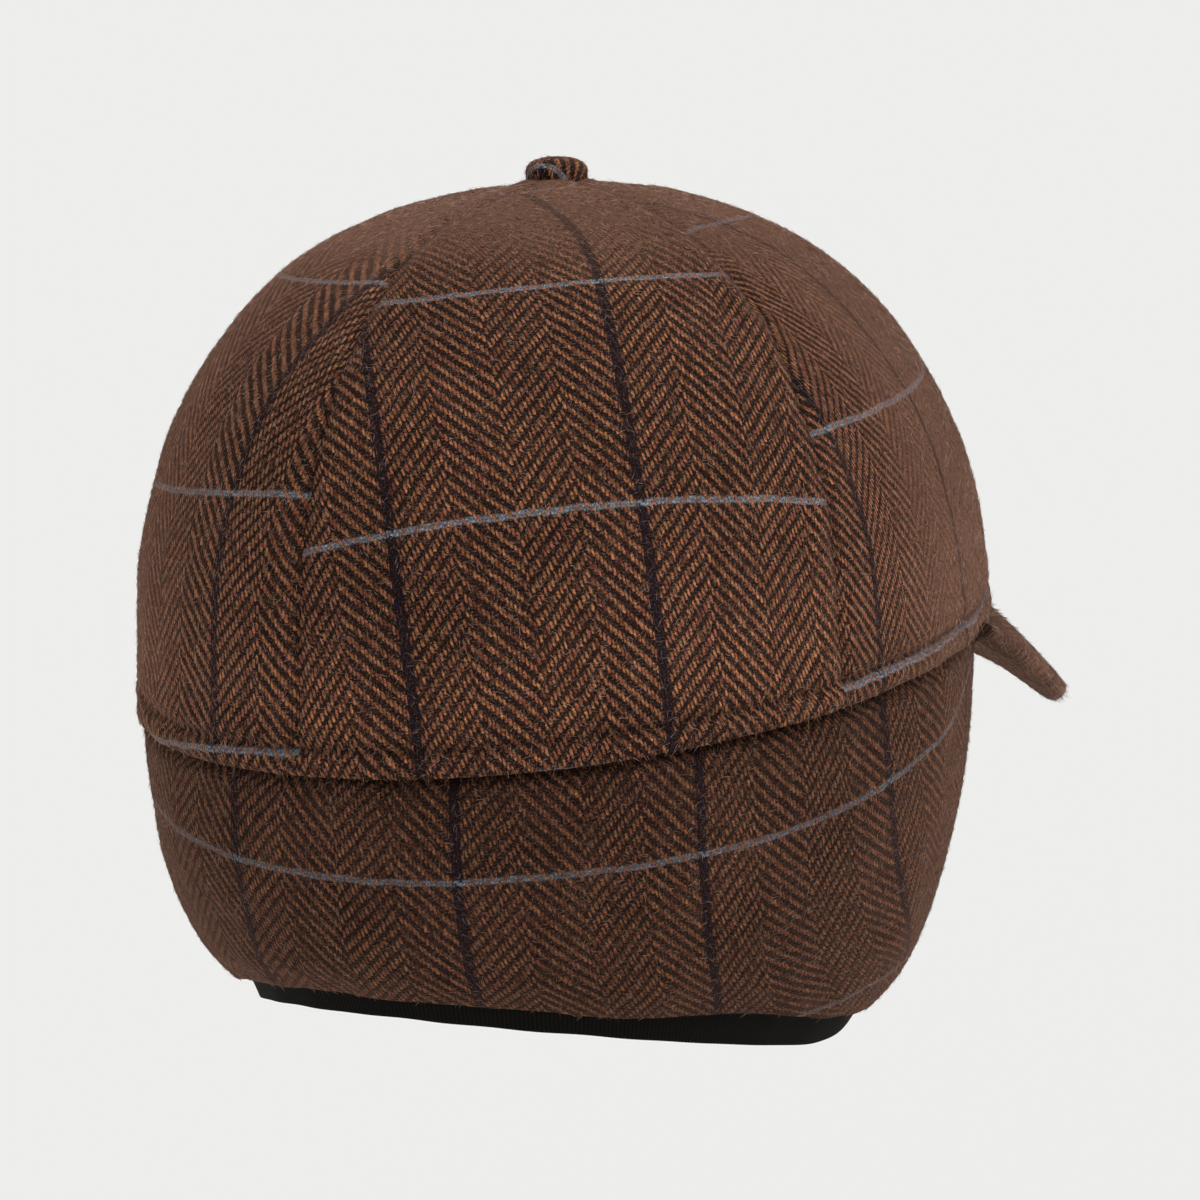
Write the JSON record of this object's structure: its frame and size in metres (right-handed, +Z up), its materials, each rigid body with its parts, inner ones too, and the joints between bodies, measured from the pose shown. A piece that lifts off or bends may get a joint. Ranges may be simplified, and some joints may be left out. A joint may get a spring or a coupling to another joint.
{
  "type": "peaked tweed ear-flap cap",
  "caption": "Soft peaked cap with a domed panelled crown, a covered button, one curved peak and a deep fold-down band over the ears and neck, edged with ribbed tape.",
  "frame": {"origin": "middle of the hem of the crown, at the level where the head sits, named by the mount head_seat", "axes": "+Z up, -Y towards the peak and the wearer's face, -X towards the wearer's right; the cap is mirrored about the plane X = 0"},
  "size_m": [0.1722, 0.2743, 0.1893],
  "materials": {
    "crown_tweed": "brown herringbone wool tweed with a navy and pale blue windowpane check",
    "band_tweed": "the same tweed in the band",
    "black_tape": "black ribbed tape"
  },
  "bodies": {
    "root": {"crown_panel_back_right": "crown_tweed", "crown_panel_back_left": "crown_tweed", "crown_panel_side_right": "crown_tweed", "crown_panel_side_left": "crown_tweed", "crown_panel_front": "crown_tweed", "top_button": "crown_tweed", "ear_neck_band": "band_tweed", "band_edge_tape": "black_tape", "peak": "crown_tweed"}
  },
  "joints": []
}
